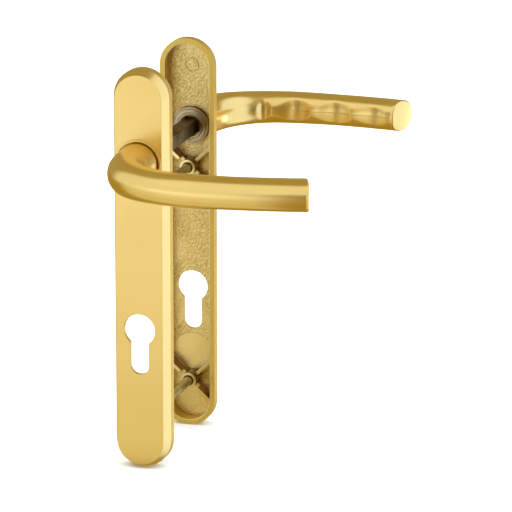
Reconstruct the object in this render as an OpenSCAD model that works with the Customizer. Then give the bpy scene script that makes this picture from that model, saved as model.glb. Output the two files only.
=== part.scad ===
// Lever handle set on two long backplates with euro-profile cylinder cut-outs.
// Millimetres. The origin is on the spindle axis, midway between the two plates.
// X runs along the levers, Y through the door from outside to inside, Z up.

/* [Backplates] */
// Overall height of each backplate
plate_l = 220; // [215:1:240]
// Overall width of each backplate
plate_w = 31; // [30:0.5:34]
// Depth of each backplate, from its face to its rim
plate_t = 11; // [10:0.5:12]
// Thickness of the wall behind the face
wall = 2.4; // [2:0.1:3]
// Width of the rim that rests on the door
rim_w = 2.9; // [2.4:0.1:3.2]
// Width of the bevel round the face
bevel_w = 2.4; // [1.5:0.1:2.6]
// Depth of the bevel round the face
bevel_d = 6; // [4:0.5:7]

/* [Door and lock] */
// Thickness of the door between the two rims
door_t = 70; // [60:1:80]
// Distance from the spindle axis down to the cylinder axis
lock_centres = 92; // [90:1:92]
// Distance between the two fixing screws
screw_centres = 122; // [120:1:124]
// Distance from the spindle axis down to the upper screw
upper_screw_drop = 22.5; // [21:0.5:25]
// Height of the plate above the spindle axis
plate_above = 50; // [45:1:60]
// Across flats of the square spindle
spindle_af = 8; // [7:1:8]
// Length of the spindle
spindle_l = 116; // [110:1:120]

/* [Levers] */
// Distance from the spindle axis to the lever's tip
lever_reach = 107; // [100:1:125]
// Centreline distance of the grip from the plate's face
grip_out = 48; // [44:1:52]
// Centreline distance of the tip from the plate's face
tip_out = 42.6; // [38:0.1:46]
// Angle by which the tip's flat is turned towards the door
tip_slant = 22; // [12:1:30]
// Diameter of the lever's neck at the plate
neck_d = 22.8; // [22:0.1:23]
// Height of the tip's centre above the spindle axis
tip_rise = 2.2; // [0:0.1:4]
// Height of the grip's section
grip_h = 17.2; // [16:0.1:19]
// Depth of the finger scoops on the door side of the grip
scoop_depth = 1.6; // [0:0.1:2]

/* [Hidden] */
$fn = 96;
eps = 0.01;

// Places
face_y = door_t / 2 + plate_t;                // distance of each face from the mid-plane
end_r = plate_w / 2;
top_z = plate_above - end_r;                  // centre of the plate's upper end
bottom_z = plate_above - plate_l + end_r;     // centre of the plate's lower end
inner_r = end_r - rim_w;
upper_screw_z = -upper_screw_drop;
lower_screw_z = -upper_screw_drop - screw_centres;

// Euro-profile cut-out: a round hole with a slot below it
cyl_r = 8.75;
slot_r = 5.25;
profile_h = 33.5;
slot_end_z = -lock_centres + cyl_r - profile_h + slot_r;

// Hub of the plate. Depths count inward from the plate's face, so negative is outward.
collar_h = 1.2;
collar_r = 12.9;
collar_bore_r = 11.9;
bush_r = 9;
seat_y = 1.2;                                 // floor of the spring cup's seat
seat_r = 10.4;
hub_r = 11.4;
hub_top = 2.9;

// Screw bosses and their ribs
boss_r = 4.4;
boss_drop = 0.2;                              // how far a boss stays below the rim
rib_t = 1.8;
rib_angle = 42;
rib_drop = 0.8;                               // how far the ribs stay below the rim
// Marks in the floor of the hollow
mark_z = 33.5;
mark_r = 4;
mark_w = 0.7;
mark_h = 0.35;
dish_z = lower_screw_z + 13;
dish_r = 12.4;
dish_d = 0.35;

moat_r = 6.7;
moat_top = 6;
screw_r = 2.45;
screw_hole_r = 3;
screw_head_r = 4.6;
screw_head_h = 2.6;
sleeve_nut_r = 3.2;
sleeve_nut_bore_r = 2.55;
sleeve_nut_proud = 8;
sleeve_nut_y = wall + 0.6;

// Bearing stack between a lever and its plate
neck_base = -0.5;
journal_r = 7.5;
journal_flat = 7.15;                          // half the width across the sleeve's two flats
run_gap = 0.05;
cup_r = 10.3;
cup_bore_r = 9.2;
cup_top = 4;
cup_floor = 0.5;
window_angle = 60;                            // half the angle of the window in the cup's wall
post_r = 9.75;                                // the post stops inside the drive washer's tab
post_w = 1.9;
wire_r = 0.35;
coil_r = 8.35;
leg_angle = 8;                                // from the middle of the post to each leg
leg_r = 10.2;
shim_y = 4.02;
shim_t = 0.25;
shim_r = 9.6;
washer_y = 4.3;
washer_t = 0.7;
ring_y = 5.05;
ring_t = 0.8;
ring_r = 8.9;
ring_gap = 1.8;
groove_r = 7;
sleeve_end = 6.4;
core_r = 6.6;                                 // the sleeve's part inside the lever
core_end = -22;
socket_end = -20.2;
socket_mouth_r = 6;
socket_mouth_d = 3.9;

// Extrudes a shape drawn in X and Z along +Y, from y0
module through_y(y0, h) {
  translate([0, y0, 0]) mirror([0, 1, 0]) rotate([90, 0, 0]) linear_extrude(h) children();
}

// Turns a half outline, drawn as radius and depth, about the spindle's direction
module turned_y() {
  mirror([0, 1, 0]) rotate([90, 0, 0]) rotate_extrude() children();
}

module rod_y(r, y0, h) {
  translate([0, y0, 0]) mirror([0, 1, 0]) rotate([90, 0, 0]) cylinder(r = r, h = h);
}

module ring_y_solid(r_out, r_in, y0, h) {
  difference() {
    rod_y(r_out, y0, h);
    rod_y(r_in, y0 - 1, h + 2);
  }
}

// Places a part of the outside set, or mirrors it to the inside of the door
module on_side(side) {
  if (side == "outside") translate([0, -face_y, 0]) children();
  else mirror([0, 1, 0]) translate([0, -face_y, 0]) children();
}

// ---------- backplates ----------

module plate_body() {
  outline = [[0, 0], [end_r - bevel_w, 0], [end_r, bevel_d], [end_r, plate_t], [0, plate_t]];
  for (z = [top_z, bottom_z]) translate([0, 0, z]) turned_y() polygon(outline);
  translate([0, 0, bottom_z]) linear_extrude(top_z - bottom_z)
    polygon(concat(outline, [for (i = [3:-1:1]) [-outline[i].x, outline[i].y]]));
}

module long_round(r) {
  for (z = [top_z, bottom_z]) translate([0, z]) circle(r);
  translate([-r, bottom_z]) square([2 * r, top_z - bottom_z]);
}

module euro_profile() {
  translate([0, -lock_centres]) circle(cyl_r);
  translate([0, slot_end_z]) circle(slot_r);
  translate([-slot_r, slot_end_z]) square([2 * slot_r, -lock_centres - slot_end_z]);
}

// Four ribs that brace a screw boss against the plate's side walls
module boss_ribs(z) {
  rib_top = plate_t - rib_drop;
  difference() {
    through_y(wall - dish_d - eps, rib_top - wall + dish_d + eps) intersection() {
      translate([0, z]) for (a = [rib_angle, -rib_angle]) rotate(a) square([60, rib_t], center = true);
      long_round(inner_r + 0.5);
    }
    translate([0, 0, z]) rod_y(moat_r, moat_top, plate_t);
  }
}

module plate(side) {
  difference() {
    union() {
      difference() {
        plate_body();
        through_y(wall, plate_t) long_round(inner_r);
        translate([0, 0, dish_z]) rod_y(dish_r, wall - dish_d, plate_t);
      }
      translate([0, 0, mark_z]) ring_y_solid(mark_r, mark_r - mark_w, wall - eps, mark_h + eps);
      rod_y(hub_r, wall - eps, hub_top - wall + eps);
      rod_y(collar_r, -collar_h, collar_h + eps);
      for (z = [upper_screw_z, lower_screw_z]) {
        boss_ribs(z);
        translate([0, 0, z]) rod_y(boss_r, wall - eps, plate_t - boss_drop - wall + eps);
      }
    }
    rod_y(collar_bore_r, -collar_h - 1, collar_h + 1);
    rod_y(bush_r, -1, seat_y + 2);
    rod_y(seat_r, seat_y, plate_t);
    through_y(-1, wall + 2) euro_profile();
    for (z = [upper_screw_z, lower_screw_z]) translate([0, 0, z]) {
      if (side == "outside") rod_y(sleeve_nut_r, sleeve_nut_y, plate_t);
      else {
        rod_y(screw_hole_r, -1, plate_t + 2);
        turned_y() polygon([[0, -1], [screw_head_r + 0.1, -1], [screw_head_r + 0.1, 0.05],
                            [screw_hole_r, screw_head_h * 0.8], [0, screw_head_h * 0.8]]);
      }
    }
  }
}

// ---------- levers ----------

// The lever's centreline in X and outward distance: a bend from the neck, then the bowed grip
bend = [[0, 12], [0, 30], [14, grip_out - 2.5], [40, grip_out]];
grip = [[40, grip_out], [58, grip_out + 1.7], [88, tip_out + 4], [lever_reach, tip_out]];
neck_straight = 12;
bend_r = 10.8;                                // half the section where the bend starts
grip_half = grip_h / 2;
grip_deep = 8.5;

function bezier(c, t) =
  pow(1 - t, 3) * c[0] + 3 * t * pow(1 - t, 2) * c[1] + 3 * t * t * (1 - t) * c[2] + pow(t, 3) * c[3];
function bezier_way(c, t) =
  3 * pow(1 - t, 2) * (c[1] - c[0]) + 6 * t * (1 - t) * (c[2] - c[1]) + 3 * t * t * (c[3] - c[2]);
function smooth(t) = let (k = min(1, max(0, t))) k * k * (3 - 2 * k);
function mix(a, b, t) = a + (b - a) * t;

// Each scoop deepens slowly from its start and ends at a crest nearer the tip: [start, crest, share of depth]
scoops = [[20, 30.5, 0.75], [30.5, 55, 1], [55, 79.5, 1], [79.5, 102, 0.65]];
scoop_deepest = 0.58;
scoop_flatness = 0.15;
function scoop_share(u) = u <= 0 || u >= 1 ? 0 :
  u < scoop_deepest ? smooth(u / scoop_deepest) : 1 - pow((u - scoop_deepest) / (1 - scoop_deepest), 2);
function scoop_at(x) = scoop_depth * max([for (s = scoops) s[2] * scoop_share((x - s[0]) / (s[1] - s[0]))]);

// One station: [point, direction, half width in the lever's plane, half height, squareness, scoop]
function neck_station(p) = [
  [0, p], [0, 1],
  mix(neck_d / 2, bend_r, smooth(p / neck_straight)), mix(neck_d / 2, bend_r, smooth(p / neck_straight)),
  2, 0
];
function bend_station(t) = [
  bezier(bend, t), bezier_way(bend, t),
  mix(bend_r, grip_deep, smooth(t * 1.25)), mix(bend_r, grip_half + 0.2, smooth(t * 1.05)),
  mix(2, 2.15, t), scoop_at(bezier(bend, t).x)
];
// The grip's last stretch turns its sections towards the door, up to the slant of the tip
slant_from = 0.8;
function grip_station(t) = let (
    way = bezier_way(grip, t),
    own = atan2(-way.y, way.x),
    turn = mix(own, tip_slant, smooth((t - slant_from) / (1 - slant_from)))
  ) [
  bezier(grip, t), [cos(turn), -sin(turn)],
  mix(grip_deep, grip_deep + 0.4, t) / cos(turn - own), mix(grip_half + 0.2, grip_half - 0.1, smooth(t * 2)),
  mix(2.15, 2.35, t), scoop_at(bezier(grip, t).x)
];
lever_sides = 40;
stations = concat(
  [for (i = [0:3]) neck_station(0.5 + i * (neck_straight - 0.5) / 4)],
  [for (i = [0:13]) bend_station(i / 14)],
  [for (i = [0:33]) grip_station(i / 34 * 0.98)]
);

// A point of a station's section, at angle a from the side that faces the door
function section_point(s, a, grow = 0) = let (
    c = cos(a), q = sin(a), n = s[4],
    k = pow(pow(abs(c), n) + pow(abs(q), n), -1 / n),
    rise = (s[3] + grow) * k * q,
    cut = s[2] - s[5] - scoop_flatness * rise * rise / s[2],
    across = min((s[2] + grow) * k * c, cut),
    way = s[1] / norm(s[1])
  ) [s[0].x + way.y * across, way.x * across - s[0].y, rise + tip_rise * s[0].x / lever_reach];

function station_ring(s, grow = 0) =
  [for (j = [0:lever_sides - 1]) section_point(s, 360 * j / lever_sides, grow)];
function flat_ring(r, p) =
  [for (j = [0:lever_sides - 1]) let (a = 360 * j / lever_sides) [r * cos(a), -p, r * sin(a)]];

// The tip is cut flat and its edge is eased
tip_station = grip_station(1);
tip_ease = 1.2;
function moved(s, d) = let (way = s[1] / norm(s[1])) [s[0] + d * way, s[1], s[2], s[3], s[4], 0];

// The lever is one closed skin: its blind socket, its base and its body, out to the flat tip
core_hole_r = (core_r + 0.06) / cos(180 / lever_sides);
lever_rings = concat(
  [flat_ring(core_hole_r, -core_end + 0.3), flat_ring(core_hole_r, 0.5)],
  [for (s = stations) station_ring(s)],
  [for (a = [0:30:90]) station_ring(moved(tip_station, tip_ease * (sin(a) - 1)), tip_ease * (cos(a) - 1))]
);

module skin(rings) {
  n = len(rings[0]);
  last = len(rings) - 1;
  points = [for (r = rings) for (p = r) p];
  sides = [for (i = [0:last - 1]) for (j = [0:n - 1]) let (k = (j + 1) % n)
    each [[i * n + j, i * n + k, (i + 1) * n + j], [i * n + k, (i + 1) * n + k, (i + 1) * n + j]]];
  caps = [[for (j = [n - 1:-1:0]) j], [for (j = [0:n - 1]) last * n + j]];
  polyhedron(points = points, faces = concat(sides, caps), convexity = 8);
}

module lever() {
  skin(lever_rings);
}

// ---------- bearing of a lever in its plate ----------

module neck_sleeve() {
  difference() {
    turned_y() polygon([
      [0, core_end], [core_r - 0.4, core_end], [core_r, core_end + 0.4], [core_r, neck_base],
      [journal_r, neck_base], [journal_r, ring_y - 0.05], [groove_r, ring_y - 0.05],
      [groove_r, ring_y + ring_t + 0.05], [journal_r, ring_y + ring_t + 0.05],
      [journal_r, sleeve_end - 0.3], [journal_r - 0.3, sleeve_end], [0, sleeve_end]
    ]);
    rod_y(socket_mouth_r, sleeve_end - socket_mouth_d, socket_mouth_d + 1);
    for (s = [-1, 1]) translate([s * (journal_flat + 5), 0, 0])
      through_y(shim_y, sleeve_end) square([10, 20], center = true);
    af = spindle_af + 2 * run_gap;
    through_y(socket_end, sleeve_end - socket_end) square(af, center = true);
  }
}

module bearing_bush() {
  difference() {
    union() {
      rod_y(bush_r - 0.02, -eps, seat_y - 0.05);
      rod_y(neck_d / 2 - 0.3, -0.4, 0.4);
    }
    rod_y(journal_r + run_gap, -2, seat_y + 4);
  }
}

// A wedge of a ring, centred on +Z
module wedge(r, half_angle) {
  polygon([[0, 0], [-r * tan(half_angle), r], [r * tan(half_angle), r]]);
}

// Fixed cup: its window lets the drive washer's tab swing, and its post holds the spring's legs
module spring_cup() {
  difference() {
    ring_y_solid(cup_r, journal_r + 0.3, seat_y, cup_top - seat_y);
    rod_y(cup_bore_r, seat_y + cup_floor, plate_t);
    through_y(seat_y + cup_floor + 0.1, plate_t) wedge(2 * cup_r, window_angle);
  }
  translate([-post_w / 2, seat_y + cup_floor - eps, cup_bore_r + 0.05])
    cube([post_w, cup_top - seat_y - cup_floor, post_r - cup_bore_r - 0.05]);
}

// A round bar swept along points, with flat ends
function unit(v) = v / norm(v);
function sweep_rings(path, r, n) = [
  for (i = [0:len(path) - 1]) let (
    way = unit(path[min(i + 1, len(path) - 1)] - path[max(i - 1, 0)]),
    side = unit(cross(way, [0, 1, 0])),
    up = cross(side, way)
  ) [for (j = [0:n - 1]) path[i] + r * (cos(360 * j / n) * side + sin(360 * j / n) * up)]
];

coil_steps = 56;
coil_start = 90 - leg_angle;
coil_sweep = -(720 - 2 * leg_angle);
coil_y0 = seat_y + cup_floor + wire_r + 0.03;
coil_y1 = cup_top - wire_r - 0.03;
function coil_point(t, r) = let (a = coil_start + coil_sweep * t)
  [r * cos(a), mix(coil_y0, coil_y1, t), r * sin(a)];

// Torsion spring: two turns round the sleeve, with a leg on each side of the cup's post
module return_spring() {
  path = concat([coil_point(0, leg_r)],
                [for (i = [0:coil_steps]) coil_point(i / coil_steps, coil_r)],
                [coil_point(1, leg_r)]);
  skin(sweep_rings(path, wire_r, 8));
}

module shim_washer() {
  ring_y_solid(shim_r, journal_r + 0.3, shim_y, shim_t);
}

// Washer keyed to the sleeve's flats; its tab pushes one of the spring's legs either way
module drive_washer() {
  difference() {
    rod_y(cup_r, washer_y, washer_t);
    through_y(washer_y - 1, washer_t + 2) intersection() {
      circle(journal_r + 0.03);
      square([2 * journal_flat + 0.06, 20], center = true);
    }
  }
  translate([-post_w / 2, seat_y + cup_floor + 0.15, post_r + 0.1])
    cube([post_w, washer_y - seat_y - cup_floor - 0.15 + eps, cup_r - post_r - 0.15]);
}

// Snap ring in the sleeve's groove, with its gap downward
module retaining_ring() {
  difference() {
    ring_y_solid(ring_r, groove_r + 0.03, ring_y, ring_t);
    translate([-ring_gap / 2, ring_y - 1, -ring_r - 1]) cube([ring_gap, ring_t + 2, 4]);
  }
}

// ---------- spindle and fixings ----------

module spindle() {
  h = spindle_af / 2;
  c = 0.5;
  color("dimgray") through_y(-spindle_l / 2, spindle_l) polygon([
    [-h + c, -h], [h - c, -h], [h, -h + c], [h, h - c], [h - c, h], [-h + c, h], [-h, h - c], [-h, -h + c]
  ]);
}

// Countersunk screws from the inside face, through the door, into the outside plate
module fixing_screws() {
  color("silver") for (z = [upper_screw_z, lower_screw_z])
    translate([0, 0, z]) on_side("inside") fixing_screw();
}

module fixing_screw() {
  reach = 2 * plate_t + door_t - sleeve_nut_y - 1;
  difference() {
    turned_y() polygon([
      [0, -0.6], [screw_head_r * 0.55, -0.45], [screw_head_r, 0.05], [screw_r, screw_head_h - 0.4],
      [screw_r, reach - 0.8], [screw_r - 0.8, reach], [0, reach]
    ]);
    for (a = [0, 90]) rotate([0, a, 0]) translate([-2, -1, -0.5]) cube([4, 2.4, 1]);
  }
}

// Steel sleeves pressed into the outside plate's bosses, each with a tapped bore for its screw
module threaded_sleeves() {
  sleeve_l = plate_t + sleeve_nut_proud - sleeve_nut_y;
  color("silver") for (z = [upper_screw_z, lower_screw_z]) translate([0, 0, z]) on_side("outside")
    ring_y_solid(sleeve_nut_r - 0.02, sleeve_nut_bore_r, sleeve_nut_y + 0.05, sleeve_l);
}

module gold() {
  color("goldenrod") children();
}

module grey() {
  color("darkgray") children();
}

for (side = ["outside", "inside"]) {
  gold() on_side(side) plate(side);
  gold() on_side(side) lever();
  grey() on_side(side) neck_sleeve();
  color("black") on_side(side) bearing_bush();
  grey() on_side(side) spring_cup();
  grey() on_side(side) return_spring();
  grey() on_side(side) shim_washer();
  grey() on_side(side) drive_washer();
  grey() on_side(side) retaining_ring();
}
spindle();
fixing_screws();
threaded_sleeves();
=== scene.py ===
import math
import bmesh
import bpy
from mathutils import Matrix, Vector


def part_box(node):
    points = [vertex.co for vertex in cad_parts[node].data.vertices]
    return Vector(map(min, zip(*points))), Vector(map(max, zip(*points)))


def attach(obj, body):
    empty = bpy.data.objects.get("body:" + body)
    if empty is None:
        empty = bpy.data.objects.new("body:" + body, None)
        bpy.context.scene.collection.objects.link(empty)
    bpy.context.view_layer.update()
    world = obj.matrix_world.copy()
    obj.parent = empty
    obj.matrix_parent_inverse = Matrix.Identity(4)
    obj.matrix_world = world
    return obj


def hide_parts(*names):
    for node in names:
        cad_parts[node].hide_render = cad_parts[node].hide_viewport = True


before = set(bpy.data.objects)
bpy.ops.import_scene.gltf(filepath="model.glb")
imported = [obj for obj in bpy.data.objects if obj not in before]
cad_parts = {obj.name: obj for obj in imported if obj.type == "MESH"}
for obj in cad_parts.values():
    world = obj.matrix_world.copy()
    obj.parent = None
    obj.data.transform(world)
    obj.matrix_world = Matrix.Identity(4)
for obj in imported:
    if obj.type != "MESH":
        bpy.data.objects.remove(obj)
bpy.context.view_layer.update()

MM = 0.001


# ---------- sizes, in millimetres, worked out from the frame ----------

def node_box(name):
    low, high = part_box(name)
    return [v / MM for v in low], [v / MM for v in high]


plate_low, plate_high = node_box("outside_plate")
inside_low, inside_high = node_box("inside_plate")
PLATE_W = plate_high[0] - plate_low[0]
END_R = PLATE_W / 2
TOP_Z = plate_high[2] - END_R                 # centres of the plate's round ends
BOTTOM_Z = plate_low[2] + END_R
COLLAR_H = 1.2                                # the collar stands this far off the plate's face
FACE_Y = inside_high[1] - COLLAR_H
RIM_Y = inside_low[1]
PLATE_T = FACE_Y - RIM_Y
WALL = 2.4                                    # thickness of the plate's face, over the hollow
RIM_W = 2.9                                   # the plate's side wall, as the rim shows it

# The lever. Its reach and its height off the plate are the CAD's 107 and 48, less a hair, so
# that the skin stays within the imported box.
LEVER_REACH = 106.99
GRIP_OUT = 47.98
TIP_OUT = 42.6                                # the tip's middle, off the plate's face
TIP_RISE = 2.2                                # the tip is this much higher than the neck
TIP_SLANT = 22                                # degrees by which the tip's flat is turned to the door
NECK_D = 22.8
BEND_R = 10.8
NECK_STRAIGHT = 12                            # the neck runs straight out this far
GRIP_START = 40                               # length at which the bend ends and the grip begins
GRIP_DEEP = 8.5                               # half the grip's depth, off the door
GRIP_HALF = 8.8                               # half the grip's height at its start
TIP_DEEP = 8.9
TIP_HALF = 8.5
ROUND = 2                                     # powers of the sections: 2 is an ellipse
BEND_SQUARE = 2.15
TIP_SQUARE = 2.35
BORE_R = 6.7                                  # the blind socket that the neck sleeve sits in
BORE_DEPTH = 22.3
NECK_START = 0.5                              # the neck starts this far off the plate's face
NECK_CHAMFER = 0.35


# ---------- small helpers ----------

def smooth(t):
    k = min(1.0, max(0.0, t))
    return k * k * (3 - 2 * k)


def mix(a, b, t):
    return a + (b - a) * t


def eased_min(a, b, ease):
    """The smaller of two values, with the corner where they cross rounded off."""
    near = max(ease - abs(a - b), 0) / ease
    return min(a, b) - near * near * ease / 4


def bezier(c, t):
    weights = ((1 - t) ** 3, 3 * t * (1 - t) ** 2, 3 * t * t * (1 - t), t ** 3)
    return [sum(w * p[i] for w, p in zip(weights, c)) for i in (0, 1)]


def bezier_way(c, t):
    steps = [(b[0] - a[0], b[1] - a[1]) for a, b in zip(c, c[1:])]
    weights = ((1 - t) ** 2, 2 * t * (1 - t), t * t)
    way = [sum(w * s[i] for w, s in zip(weights, steps)) for i in (0, 1)]
    length = math.hypot(*way)
    return [way[0] / length, way[1] / length]


def finish_mesh(name, bm, material, smooth_angle=35):
    bmesh.ops.recalc_face_normals(bm, faces=bm.faces)
    mesh = bpy.data.meshes.new(name)
    bm.to_mesh(mesh)
    bm.free()
    piece = bpy.data.objects.new(name, mesh)
    bpy.context.scene.collection.objects.link(piece)
    mesh.materials.append(material)
    mesh.polygons.foreach_set("use_smooth", [True] * len(mesh.polygons))
    mesh.set_sharp_from_angle(angle=math.radians(smooth_angle))
    return piece


# ---------- material nodes ----------

class Nodes:
    """Builds one node material a call at a time."""

    def __init__(self, name):
        self.material = bpy.data.materials.new(name)
        self.material.use_nodes = True
        self.tree = self.material.node_tree
        self.shader = self.tree.nodes["Principled BSDF"]

    def add(self, kind, settings=None, **inputs):
        node = self.tree.nodes.new("ShaderNode" + kind)
        for key, value in (settings or {}).items():
            setattr(node, key, value)
        for key, value in inputs.items():
            self.set(node, key, value)
        return node

    def set(self, node, key, value):
        socket = node.inputs[int(key[1:]) if key[0] == "_" else key]
        if isinstance(value, bpy.types.NodeSocket):
            self.tree.links.new(value, socket)
        else:
            socket.default_value = value

    def math(self, operation, a, b=0.0):
        return self.add("Math", {"operation": operation}, _0=a, _1=b).outputs[0]

    def blend(self, factor, a, b):
        node = self.add("Mix", {"data_type": "RGBA"}, _0=factor, _6=a, _7=b)
        return node.outputs[2]

    def blend_value(self, factor, a, b):
        node = self.add("Mix", {"data_type": "FLOAT"}, _0=factor, _2=a, _3=b)
        return node.outputs[0]

    def ramp(self, value, low, high):
        """0 below low, 1 above high, smooth between."""
        node = self.add("MapRange", {"interpolation_type": "SMOOTHSTEP"},
                        _0=value, _1=low, _2=high, _3=0.0, _4=1.0)
        return node.outputs[0]

    def shade(self, reach_mm, low, high):
        """0 in tight corners, 1 in the open."""
        node = self.add("AmbientOcclusion", {"samples": 8}, Distance=reach_mm * MM)
        return self.ramp(node.outputs["AO"], low, high)

    def place(self):
        return self.add("TexCoord").outputs["Object"]

    def noise(self, where, size_mm, detail=3.0, distortion=0.0):
        node = self.add("TexNoise", Vector=where, Scale=1 / (size_mm * MM), Detail=detail,
                        Distortion=distortion)
        return node.outputs[0]

    def finish(self, color, metallic, roughness, height=None, depth_mm=0.0, edge_mm=0.3):
        """Sets the shader. edge_mm rounds the edges: a number in mm, or a socket in metres."""
        self.set(self.shader, "Base Color", color)
        self.set(self.shader, "Metallic", metallic)
        self.set(self.shader, "Roughness", roughness)
        radius = edge_mm if isinstance(edge_mm, bpy.types.NodeSocket) else edge_mm * MM
        rounded = self.add("Bevel", {"samples": 6}, Radius=radius).outputs[0]
        if height is None:
            self.set(self.shader, "Normal", rounded)
        else:
            bump = self.add("Bump", Height=height, Distance=depth_mm * MM, Strength=1.0, Normal=rounded)
            self.set(self.shader, "Normal", bump.outputs[0])
        return self.material


GOLD = (0.87, 0.635, 0.215, 1)
GOLD_WARM = (0.85, 0.61, 0.195, 1)
GOLD_PAINTED_SHADE = (0.60, 0.36, 0.03, 1)             # painted shade: a darker gold where gold mirrors gold in tight corners
GOLD_RIM = (0.88, 0.65, 0.16, 1)
FLASH_LINE = (0.42, 0.27, 0.05, 1)
# the casting skin's gold, painted lighter than the face's gold to stand in for light inside the hollow;
# the rib tops' plain colour is painted lighter too
CAST_PAINTED_LIGHTER = (1.0, 0.80, 0.33, 1)
CAST_SPECK = (0.40, 0.23, 0.03, 1)
CAST_TOPS_PAINTED_LIGHTER = (0.98, 0.80, 0.36, 1)
# painted shade for the casting skin in tight corners
CAST_PAINTED_SHADE = (0.30, 0.15, 0.02, 1)
# painted shade: the dark browns of upright flanks in the hollow, on the ribs and by the wall
RIB_FLANK_PAINTED_SHADE = (0.22, 0.11, 0.018, 1)
WALL_FLANK_PAINTED_SHADE = (0.54, 0.35, 0.045, 1)
SCREW_STEEL = (0.58, 0.51, 0.23, 1)
SCREW_STAIN = (0.46, 0.40, 0.18, 1)


def clouded_gold(n, where):
    """Gold that drifts slightly in tone across the piece."""
    return n.blend(n.ramp(n.noise(where, 28, 2.0), 0.35, 0.75), GOLD, GOLD_WARM)


def satin_gold(name):
    """Clear anodised gold; a faint flash line runs along the door side of the grip; shade is painted
    darker where the lever runs close to other parts, as at the neck by the plate.
    """
    n = Nodes(name)
    where = n.place()
    axes = n.add("SeparateXYZ", Vector=where)
    middle_z = n.math("MULTIPLY", axes.outputs[0], TIP_RISE / LEVER_REACH)
    off_line = n.math("ABSOLUTE", n.math("SUBTRACT", axes.outputs[2], middle_z))
    door_side = n.add("Attribute", {"attribute_name": "door_side"}).outputs["Fac"]
    line = n.math("MULTIPLY", n.ramp(off_line, 0.22 * MM, 0.06 * MM), door_side)
    grain = n.noise(where, 0.25, 2.0)
    color = n.blend(n.math("MULTIPLY", line, 0.45), clouded_gold(n, where), FLASH_LINE)
    # painted shade: within 30 mm of other parts, such as the plate by the neck, the gold is painted
    # darker
    color = n.blend(n.shade(30, 0.5, 1.0), GOLD_PAINTED_SHADE, color)
    rough = n.blend_value(grain, 0.22, 0.28)
    height = n.math("ADD", grain, n.math("MULTIPLY", line, 4.0))
    return n.finish(color, 1.0, rough, height, 0.01, 0.35)


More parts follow.
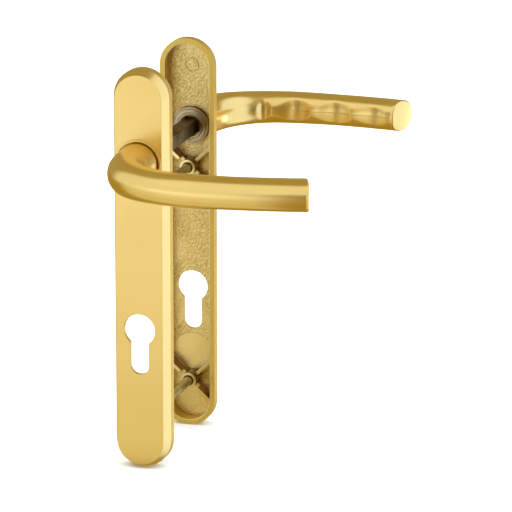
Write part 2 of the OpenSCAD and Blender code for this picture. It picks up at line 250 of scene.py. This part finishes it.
def plate_gold(name):
    """Satin gold outside; inside the hollow, the same gold over a rough casting skin, painted lighter
    to stand in for light, with painted shade on upright flanks and in tight corners.
    """
    n = Nodes(name)
    where = n.place()
    axes = n.add("SeparateXYZ", Vector=where)
    x, y, z = axes.outputs[0], axes.outputs[1], axes.outputs[2]
    from_face = n.math("SUBTRACT", FACE_Y * MM, n.math("ABSOLUTE", y))
    over = n.math("MAXIMUM", n.math("SUBTRACT", z, TOP_Z * MM), 0.0)
    under = n.math("MAXIMUM", n.math("SUBTRACT", BOTTOM_Z * MM, z), 0.0)
    end = n.math("ADD", over, under)
    across = n.math("SQRT", n.math("ADD", n.math("MULTIPLY", x, x), n.math("MULTIPLY", end, end)))
    wall_at = END_R - RIM_W

    # masks: the hollow, what is raised from its floor or sunk in it, the tops of ribs and the rim
    within = n.ramp(across, (wall_at + 0.5) * MM, wall_at * MM)
    hollow = n.math("MULTIPLY", within, n.ramp(from_face, (WALL - 1.2) * MM, (WALL - 0.5) * MM))
    raised = n.ramp(from_face, (WALL + 0.3) * MM, (WALL + 0.9) * MM)
    dished = n.ramp(from_face, (WALL - 0.15) * MM, (WALL - 0.28) * MM)
    tops = n.ramp(from_face, (PLATE_T - 1.6) * MM, (PLATE_T - 1.1) * MM)
    beyond = n.math("SUBTRACT", 1.0, within)
    rim = n.math("MULTIPLY", beyond,
                 n.ramp(from_face, (PLATE_T - 0.4) * MM, (PLATE_T - 0.15) * MM))

    # the casting skin: slanting strokes, pits and fine grain, weaker on raised and dished parts
    turned = n.add("Mapping", {"vector_type": "TEXTURE"}, Vector=where,
                   Rotation=(0, math.radians(-40), 0), Scale=(2.0, 1, 1)).outputs[0]
    strokes = n.noise(turned, 0.7, 2.5, 0.4)
    pits = n.add("TexVoronoi", {"feature": "SMOOTH_F1"}, Vector=where, Scale=1 / (1.1 * MM)).outputs[0]
    fine = n.noise(where, 0.4, 3.0)
    cast = n.math("ADD", n.math("MULTIPLY", strokes, 1.1), n.math("MULTIPLY", pits, 0.25))
    cast = n.math("ADD", cast, n.math("MULTIPLY", fine, 0.2))
    patches = n.ramp(n.noise(where, 24, 1.0), 0.38, 0.6)
    strength = n.math("MULTIPLY", n.blend_value(patches, 0.5, 1.0), n.blend_value(raised, 1.0, 0.12))
    strength = n.math("MULTIPLY", strength, n.blend_value(dished, 1.0, 0.3))
    low_end = n.ramp(z, (BOTTOM_Z + 12) * MM, (BOTTOM_Z + 8) * MM)
    strength = n.math("MULTIPLY", strength, n.blend_value(low_end, 1.0, 0.45))
    relief = n.math("MULTIPLY", cast, strength)

    grain = n.noise(where, 0.25, 2.0)
    plain = n.math("MULTIPLY", grain, n.blend_value(rim, 0.04, 0.6))
    height = n.blend_value(hollow, plain, relief)
    speck = n.math("MULTIPLY", n.ramp(strokes, 0.55, 0.43), n.math("MULTIPLY", strength, 0.4))
    # the casting skin's colour, with its dark specks and plain rib tops, is painted lighter than the
    # face's gold to stand in for light in the hollow
    cast_color = n.blend(speck, CAST_PAINTED_LIGHTER, CAST_SPECK)
    cast_color = n.blend(n.math("MULTIPLY", tops, raised), cast_color, CAST_TOPS_PAINTED_LIGHTER)
    # painted shade: upright faces above the hollow's floor, the flanks of ribs and walls, are painted
    # dark brown as if mirroring the dark; darkest on the ribs
    normal = n.add("SeparateXYZ", Vector=n.add("NewGeometry").outputs["True Normal"])
    flatness = n.math("ABSOLUTE", normal.outputs[1])
    above_floor = n.ramp(from_face, (WALL - 0.1) * MM, (WALL + 0.1) * MM)
    upright = n.math("MULTIPLY", n.ramp(flatness, 0.7, 0.3), above_floor)
    by_wall = n.ramp(across, (wall_at - 0.7) * MM, (wall_at - 0.3) * MM)
    flank = n.blend(by_wall, RIB_FLANK_PAINTED_SHADE, WALL_FLANK_PAINTED_SHADE)
    cast_color = n.blend(upright, cast_color, flank)
    # painted shade: the casting skin and the face are painted darker in tight corners, within 3.5 mm
    deep = n.shade(3.5, 0.2, 0.75)
    cast_color = n.blend(deep, CAST_PAINTED_SHADE, cast_color)
    face_color = clouded_gold(n, where)
    face_color = n.blend(deep, GOLD_PAINTED_SHADE, face_color)
    face_color = n.blend(rim, face_color, GOLD_RIM)
    color = n.blend(hollow, face_color, cast_color)
    inside = n.blend_value(raised, 0.32, 0.28)
    outside = n.blend_value(rim, n.blend_value(grain, 0.28, 0.34), 0.5)
    by_rim = n.math("MULTIPLY", beyond, tops)
    edge = n.blend_value(by_rim, 0.35 * MM, 0.08 * MM)
    return n.finish(color, 1.0, n.blend_value(hollow, outside, inside), height, 0.42, edge)


def grey_metal(name, color, dark, roughness, bump_mm, grain_mm=0.6):
    n = Nodes(name)
    where = n.place()
    grain = n.noise(where, grain_mm, 4.0)
    stain = n.noise(where, 7, 3.0)
    tint = n.blend(n.ramp(stain, 0.35, 0.7), color, dark)
    rough = n.blend_value(grain, roughness - 0.08, roughness + 0.1)
    return n.finish(tint, 1.0, rough, grain, bump_mm, 0.2)


THREAD_FROM = -43                             # the threaded end of each screw, along Y
THREAD_TO = -8
THREAD_PITCH = 0.8


def screw_steel(name):
    """Plated steel; rolled thread rings show as relief on the end that enters the sleeve."""
    n = Nodes(name)
    where = n.place()
    y = n.add("SeparateXYZ", Vector=where).outputs[1]
    flank = THREAD_PITCH / 2 * MM
    ridge = n.math("PINGPONG", n.math("ADD", y, 1.0), flank)
    ridge = n.math("DIVIDE", ridge, flank)
    there = n.math("MULTIPLY", n.ramp(y, THREAD_FROM * MM, (THREAD_FROM + 0.5) * MM),
                   n.ramp(y, THREAD_TO * MM, (THREAD_TO - 0.5) * MM))
    grain = n.noise(where, 0.5, 3.0)
    height = n.math("ADD", n.math("MULTIPLY", ridge, there), n.math("MULTIPLY", grain, 0.06))
    tint = n.blend(n.ramp(n.noise(where, 9, 2.0), 0.4, 0.7), SCREW_STEEL, SCREW_STAIN)
    return n.finish(tint, 1.0, n.blend_value(grain, 0.26, 0.4), height, 0.35, 0.15)


def plastic(name, color):
    n = Nodes(name)
    grain = n.noise(n.place(), 0.4, 2.0)
    tint = n.blend(n.ramp(grain, 0.3, 0.8), color, tuple(c * 1.5 for c in color[:3]) + (1,))
    return n.finish(tint, 0.0, n.blend_value(grain, 0.4, 0.55), grain, 0.02, 0.1)


materials = {
    "lever": satin_gold("lever_satin_gold"),
    "plate": plate_gold("plate_cast_gold"),
    "zinc": grey_metal("grey_zinc", (0.52, 0.38, 0.19, 1), (0.36, 0.25, 0.12, 1), 0.34, 0.03),
    "spring": grey_metal("spring_steel", (0.54, 0.46, 0.31, 1), (0.44, 0.37, 0.25, 1), 0.32, 0.01),
    "dark": grey_metal("dark_bar_steel", (0.15, 0.10, 0.035, 1), (0.065, 0.042, 0.014, 1),
                       0.42, 0.25, 0.9),
    "screw": screw_steel("plated_screw_steel"),
    "plastic": plastic("black_plastic", (0.02, 0.018, 0.015, 1)),
}
finish_of = {
    "outside_plate": "plate", "inside_plate": "plate", "spindle": "dark",
    "fixing_screws": "screw", "threaded_sleeves": "zinc",
}
for side in ("outside", "inside"):
    for part, finish in (("neck_sleeve", "zinc"), ("spring_cup", "zinc"), ("drive_washer", "zinc"),
                         ("retaining_ring", "spring"), ("return_spring", "spring"),
                         ("bearing_bush", "plastic"), ("shim_washer", "plastic")):
        finish_of[side + "_" + part] = finish
for node, finish in finish_of.items():
    mesh_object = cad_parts[node]
    mesh_object.data.materials.clear()
    mesh_object.data.materials.append(materials[finish])


# ---------- levers ----------

# control points of the lever's centre line: length from the spindle, height off the plate's face
BEND = [(0, NECK_STRAIGHT), (0, 30), (14, GRIP_OUT - 2.5), (GRIP_START, GRIP_OUT)]
GRIP = [(GRIP_START, GRIP_OUT), (58, GRIP_OUT + 1.7), (88, TIP_OUT + 4), (LEVER_REACH, TIP_OUT)]
SCOOPS = [(20, 30.5, 1.2), (30.5, 55, 1.6), (55, 79.5, 1.6), (79.5, 102, 1.05)]   # start, crest, depth
SCOOP_DEEPEST = 0.58                          # share of a scoop's length where it is deepest
SCOOP_BELLY = 0.15                            # how much the scooped side is still crowned
SCOOP_EASE = 0.5                              # rounding of the scoops' edges
SLANT_FROM = 0.8                              # share of the grip where its sections start to turn
TIP_EASE = 1.2                                # rounding of the tip's edge
SIDES = 144                                   # points round each section
NECK_ROWS = 10
BEND_ROWS = 90
GRIP_ROWS = 240
ROWS_IN_EASE = 6                              # rows at the tip that its rounded edge takes the place of


def scoop_depth(x):
    """Depth of the finger scoops at length x: each deepens slowly and ends at a crest."""
    depth = 0.0
    for start, crest, deepest in SCOOPS:
        u = (x - start) / (crest - start)
        if 0 < u < 1:
            past = (u - SCOOP_DEEPEST) / (1 - SCOOP_DEEPEST)
            share = smooth(u / SCOOP_DEEPEST) if past < 0 else 1 - past ** 2
            depth = max(depth, deepest * share)
    return depth


def lever_stations():
    """Rows of place, direction, half depth, half height and power, from the neck to the tip."""
    rows = []
    for i in range(NECK_ROWS):
        p = mix(NECK_START, NECK_STRAIGHT, i / NECK_ROWS)
        half = mix(NECK_D / 2, BEND_R, smooth(p / NECK_STRAIGHT))
        rows.append(((0, p), (0, 1), half, half, ROUND))
    for i in range(BEND_ROWS):
        t = i / BEND_ROWS
        deep = mix(BEND_R, GRIP_DEEP, smooth(t * 1.25))
        high = mix(BEND_R, GRIP_HALF, smooth(t * 1.05))
        rows.append((bezier(BEND, t), bezier_way(BEND, t), deep, high, mix(ROUND, BEND_SQUARE, t)))
    for i in range(GRIP_ROWS + 1):
        t = i / GRIP_ROWS
        way = bezier_way(GRIP, t)
        own = math.atan2(-way[1], way[0])
        turn = mix(own, math.radians(TIP_SLANT), smooth((t - SLANT_FROM) / (1 - SLANT_FROM)))
        deep = mix(GRIP_DEEP, TIP_DEEP, t) / math.cos(turn - own)
        high = mix(GRIP_HALF, TIP_HALF, smooth(t * 2))
        square = mix(BEND_SQUARE, TIP_SQUARE, t)
        rows.append((bezier(GRIP, t), (math.cos(turn), -math.sin(turn)), deep, high, square))
    return rows


def section_points(row, side, grow=0.0, forward=0.0, scooped=True):
    """The points round one row's section; side is -1 on the door's outside and 1 on its inside."""
    (px, pout), (wx, wout), deep, high, n = row
    points = []
    for j in range(SIDES):
        angle = 2 * math.pi * j / SIDES
        c, s = math.cos(angle), math.sin(angle)
        k = (abs(c) ** n + abs(s) ** n) ** (-1 / n)
        across = (deep + grow) * k * c
        rise = (high + grow) * k * s
        if scooped and c > 0:
            scooped_to = deep - scoop_depth(px) - SCOOP_BELLY * rise * rise / deep
            across = eased_min(across, scooped_to, SCOOP_EASE)
        x = px + wout * across + wx * forward
        out = pout - wx * across + wout * forward
        z = rise + TIP_RISE * px / LEVER_REACH
        points.append(Vector((x, side * (FACE_Y + out), z)) * MM)
    return points


def lever_skin(name, side):
    """One closed skin: the socket, the neck's chamfered base, the bend, the grip and the flat tip."""
    rows = lever_stations()
    bore = ((0, 1), BORE_R, BORE_R, ROUND)
    base = rows[0][1:]
    rings = [section_points(((0, p),) + bore, side, scooped=False) for p in (BORE_DEPTH, NECK_START)]
    for rise, inset in ((0, NECK_CHAMFER), (0.12, 0.1), (NECK_CHAMFER, 0)):
        rings.append(section_points(((0, NECK_START + rise),) + base, side, -inset, scooped=False))
    rings += [section_points(row, side) for row in rows[1:-ROWS_IN_EASE]]
    tip = rows[-1]
    for a in range(0, 91, 15):
        s, c = math.sin(math.radians(a)), math.cos(math.radians(a))
        rings.append(section_points(tip, side, TIP_EASE * (c - 1), TIP_EASE * (s - 1), scooped=False))
    bm = bmesh.new()
    loops = [[bm.verts.new(p) for p in ring] for ring in rings]
    for a, b in zip(loops, loops[1:]):
        for j in range(SIDES):
            k = (j + 1) % SIDES
            bm.faces.new((a[j], a[k], b[k], b[j]))
    bm.faces.new(loops[0])
    bm.faces.new(loops[-1])
    skin = finish_mesh(name, bm, materials["lever"], 40)
    door_side = skin.data.attributes.new("door_side", "FLOAT", "POINT")
    first, last = len(rings) // 3, len(rings) - 10        # the grip, up to near its tip
    values = [float(first < i < last and math.cos(2 * math.pi * j / SIDES) > 0.5)
              for i in range(len(rings)) for j in range(SIDES)]
    door_side.data.foreach_set("value", values)
    return skin


for side_name, side in (("outside", -1), ("inside", 1)):
    skin = lever_skin(side_name + "_lever_skin", side)
    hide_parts(side_name + "_lever")
    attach(skin, "lever_set")


# ---------- floor, light and camera, in metres ----------

def floor_material():
    n = Nodes("pale_floor")
    grain = n.noise(n.place(), 40, 2.0)
    color = n.blend(grain, (0.90, 0.90, 0.90, 1), (0.93, 0.93, 0.93, 1))
    return n.finish(color, 0.0, 0.6, None)


def area_light(name, place, target, size, power, color=(1, 1, 1)):
    data = bpy.data.lights.new(name, "AREA")
    data.shape = "RECTANGLE"
    data.size, data.size_y = size
    data.energy = power
    data.color = color
    lamp = bpy.data.objects.new(name, data)
    bpy.context.scene.collection.objects.link(lamp)
    lamp.location = place
    lamp.visible_camera = False
    lamp.rotation_euler = (Vector(target) - Vector(place)).to_track_quat("-Z", "Y").to_euler()
    return lamp


floor_z = plate_low[2] * MM
bm = bmesh.new()
bmesh.ops.create_grid(bm, x_segments=4, y_segments=4, size=6)
bmesh.ops.translate(bm, verts=bm.verts, vec=(0, 0, floor_z))
floor = finish_mesh("floor", bm, floor_material())
floor.visible_shadow = False


# the tent's layers: direction, dot products where the layer starts and is full, colour
TENT_BASE = (0.44, 0.37, 0.16, 1)
TENT = [
    ((-0.45, -0.87, 0.10), 0.57, 0.70, (1.00, 1.05, 1.15)),
    ((-0.87, -0.50, 0.00), 0.62, 0.72, (0.94, 0.96, 0.98)),
    ((-0.29, -0.60, 0.75), 0.83, 0.90, (1.00, 1.02, 1.05)),
    ((0.13, -0.95, -0.10), 0.962, 0.988, (0.25, 0.20, 0.10)),
    ((0.00, 0.00, -1.00), 0.13, 0.22, (0.42, 0.30, 0.05)),
    ((0.57, -0.80, -0.12), 0.950, 0.980, (0.22, 0.17, 0.07)),
    ((0.99, 0.11, 0.00), 0.69, 0.72, (1.15, 1.34, 1.95)),
    ((0.83, 0.10, 0.55), 0.75, 0.80, (1.10, 1.22, 1.60)),
    ((0.83, 0.10, -0.55), 0.75, 0.80, (1.10, 1.22, 1.60)),
]


def studio_world():
    """A tent round the object: pale in front and on both sides, warm and dim behind and below."""
    world = bpy.data.worlds.new("studio")
    world.use_nodes = True
    tree = world.node_tree
    background = tree.nodes["Background"]
    way = tree.nodes.new("ShaderNodeTexCoord").outputs["Generated"]

    def facing(way_to, low, high):
        dot = tree.nodes.new("ShaderNodeVectorMath")
        dot.operation = "DOT_PRODUCT"
        dot.inputs[1].default_value = Vector(way_to).normalized()
        tree.links.new(way, dot.inputs[0])
        ramp = tree.nodes.new("ShaderNodeMapRange")
        ramp.interpolation_type = "SMOOTHSTEP"
        ramp.inputs[1].default_value = low
        ramp.inputs[2].default_value = high
        tree.links.new(dot.outputs["Value"], ramp.inputs[0])
        return ramp.outputs[0]

    def layer(under, color, mask):
        mix_node = tree.nodes.new("ShaderNodeMix")
        mix_node.data_type = "RGBA"
        if isinstance(under, bpy.types.NodeSocket):
            tree.links.new(under, mix_node.inputs[6])
        else:
            mix_node.inputs[6].default_value = under
        mix_node.inputs[7].default_value = color
        tree.links.new(mask, mix_node.inputs[0])
        return mix_node.outputs[2]

    color = TENT_BASE
    for way_to, low, high, level in TENT:
        color = layer(color, level + (1,), facing(way_to, low, high))
    tree.links.new(color, background.inputs[0])
    background.inputs[1].default_value = 1.0
    return world


bpy.context.scene.world = studio_world()
middle = (0.03, 0, -0.06)                     # what the soft boxes point at


def soft_box(name, way, distance, size, radiance, color=(1, 1, 1)):
    """An even panel seen from the object in the direction given."""
    way = Vector(way).normalized()
    place = Vector(middle) + way * distance
    return area_light(name, place, middle, size, radiance * math.pi * size[0] * size[1], color)


# Panels just below the floor, which casts no shadow. The plates mirror them as a table that
# gets brighter with distance. Each has its near and far edge along Y, its level and its tint.
TABLE_X = -0.515
TABLE_W = 1.17
TABLE_DROP = 0.005
TABLE_POWER = 3.43                            # watts per metre of panel at level 1
TABLE = [
    ("table_edge", -0.07, -0.22, 0.66, (0.60, 0.70, 0.78)),
    ("table_near", -0.22, -0.42, 0.79, (0.60, 0.72, 0.90)),
    ("table_middle", -0.42, -0.65, 1.01, (0.60, 0.726, 1.0)),
    ("table_far", -0.65, -1.33, 1.36, (0.60, 0.726, 1.0)),
]
for name, near, far, level, tint in TABLE:
    place = (TABLE_X, (near + far) / 2, floor_z - TABLE_DROP)
    power = TABLE_POWER * level * (near - far)
    area_light(name, place, (place[0], place[1], 1), (TABLE_W, near - far), power, tint)
soft_box("tip", way=(0.62, 0.73, -0.27), distance=1.5, size=(0.5, 0.5), radiance=2.2,
         color=(0.78, 0.88, 1.0))
soft_box("back", way=(0.20, 0.97, -0.10), distance=1.6, size=(0.6, 1.6), radiance=0.24,
         color=(1.0, 0.94, 0.82))

# a broad sun lights the floor; neither of them shows in the metal
sun = bpy.data.lights.new("floor_light", "SUN")
sun.energy = 3.5
sun.angle = math.radians(100)
sun_object = bpy.data.objects.new("floor_light", sun)
bpy.context.scene.collection.objects.link(sun_object)
sun_object.location = (0, 0, 2)
sun_object.visible_glossy = False
floor.visible_glossy = False

CAMERA_PLACE = (0.71993, -2.10079, 0.56587)
CAMERA_DOWN = 15.82                           # degrees below the level
CAMERA_TURN = 17.67                           # degrees about Z, from looking along +Y
SENSOR_W = 36
FOCAL_SHARE = 8.314                           # focal length as a multiple of the sensor's width
data = bpy.data.cameras.new("camera")
data.sensor_width = SENSOR_W
data.lens = FOCAL_SHARE * SENSOR_W
data.clip_end = 20
camera = bpy.data.objects.new("camera", data)
bpy.context.scene.collection.objects.link(camera)
camera.location = CAMERA_PLACE
camera.rotation_euler = (math.radians(90 - CAMERA_DOWN), 0, math.radians(CAMERA_TURN))
bpy.context.scene.camera = camera
bpy.context.scene.view_settings.view_transform = "Standard"
